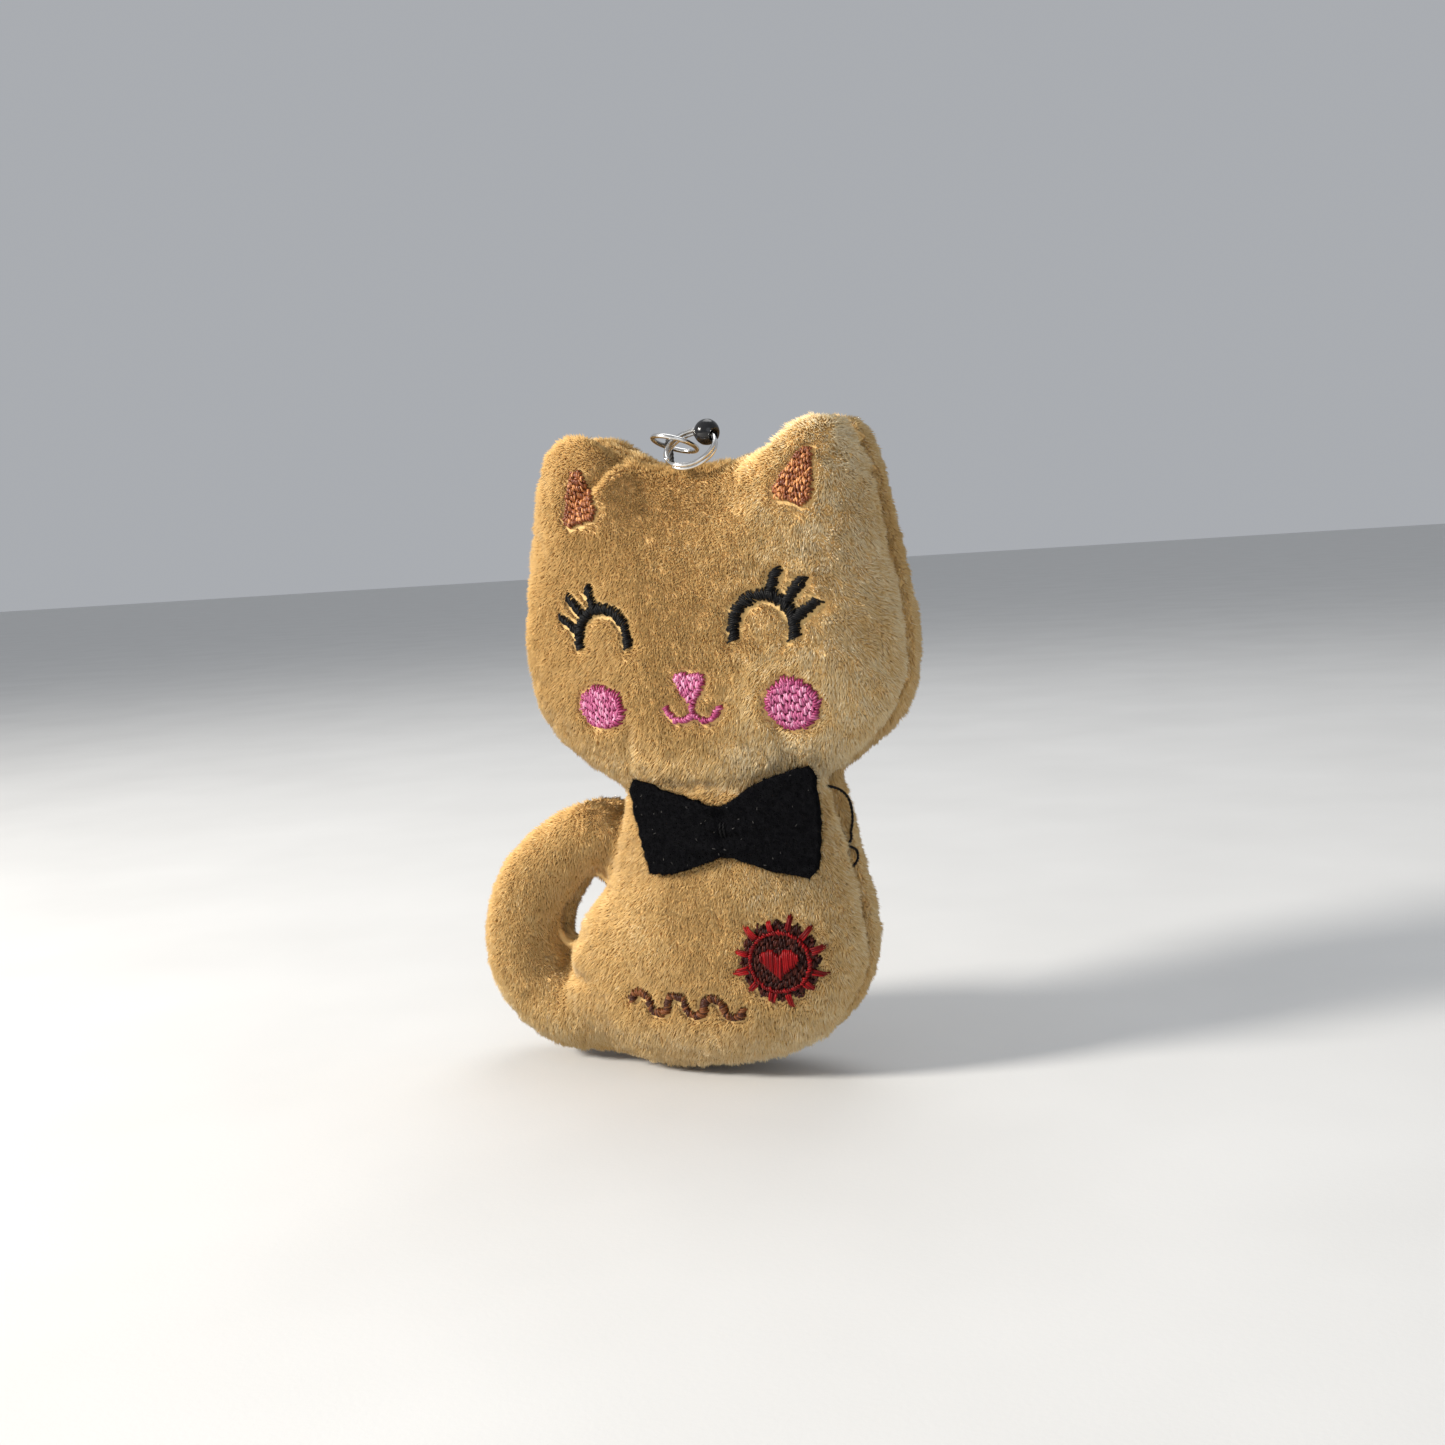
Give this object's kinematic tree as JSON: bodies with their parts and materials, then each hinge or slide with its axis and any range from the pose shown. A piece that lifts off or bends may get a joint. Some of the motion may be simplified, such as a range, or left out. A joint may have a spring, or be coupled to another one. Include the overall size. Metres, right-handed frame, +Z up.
{
  "type": "plush keychain",
  "caption": "Small stuffed plush cat with an embroidered face and a felt bow tie, hung from a cord loop by a jump ring and a split key ring.",
  "frame": {"origin": "on the flat resting plane under the body, in the seam plane, under the middle of the head", "axes": "+Z up from the resting plane to the crown, the face looks towards -Y, +X is to the viewer's right when the face is seen from the front"},
  "size_m": [0.0826, 0.0294, 0.1095],
  "materials": {
    "plush": "short velvety pile",
    "filling": "loose polyester fibre",
    "tan_thread": "twisted sewing thread",
    "black_thread": "satin-stitched embroidery thread",
    "pink_thread": "satin-stitched embroidery thread",
    "brown_thread": "satin-stitched embroidery thread",
    "red_thread": "satin-stitched embroidery thread",
    "black_felt": "matt felt",
    "black_cord": "thin twisted cord",
    "plated_steel": "bright nickel plating",
    "black_bead": "glossy moulded"
  },
  "bodies": {
    "toy": {"front_panel": "plush", "back_panel": "plush", "stuffing": "filling", "seam_thread": "tan_thread", "closing_stitch": "black_thread", "bow_tie": "black_felt", "bow_stitch": "black_thread", "eye_left": "black_thread", "eye_right": "black_thread", "cheek_left": "pink_thread", "cheek_right": "pink_thread", "nose": "pink_thread", "mouth": "pink_thread", "inner_ear_left": "brown_thread", "inner_ear_right": "brown_thread", "patch_base": "brown_thread", "patch_heart": "red_thread", "patch_stitches": "red_thread", "wave_stitching": "brown_thread", "hanger_loop": "black_cord"},
    "jump_ring": {"jump_ring": "plated_steel"},
    "split_ring": {"split_ring": "plated_steel"},
    "bead": {"bead": "black_bead"}
  },
  "joints": [
    {"name": "jump_swing", "type": "hinge", "parent": "toy", "child": "jump_ring", "pos_m": [-0.00619, -0.00131, 0.10579], "axis": [-0.7211, -0.6081, 0.332], "range_deg": [0, 120]},
    {"name": "split_swing", "type": "hinge", "parent": "jump_ring", "child": "split_ring", "pos_m": [-0.00228, -0.0075, 0.10682], "axis": [0.9049, 0.317, -0.284], "range_deg": [-15, 0]},
    {"name": "bead_slide", "type": "hinge", "parent": "split_ring", "child": "bead", "pos_m": [0.0008, -0.0077, 0.1048], "axis": [0, -0.6947, 0.7193], "range_deg": [-40, 0]}
  ]
}
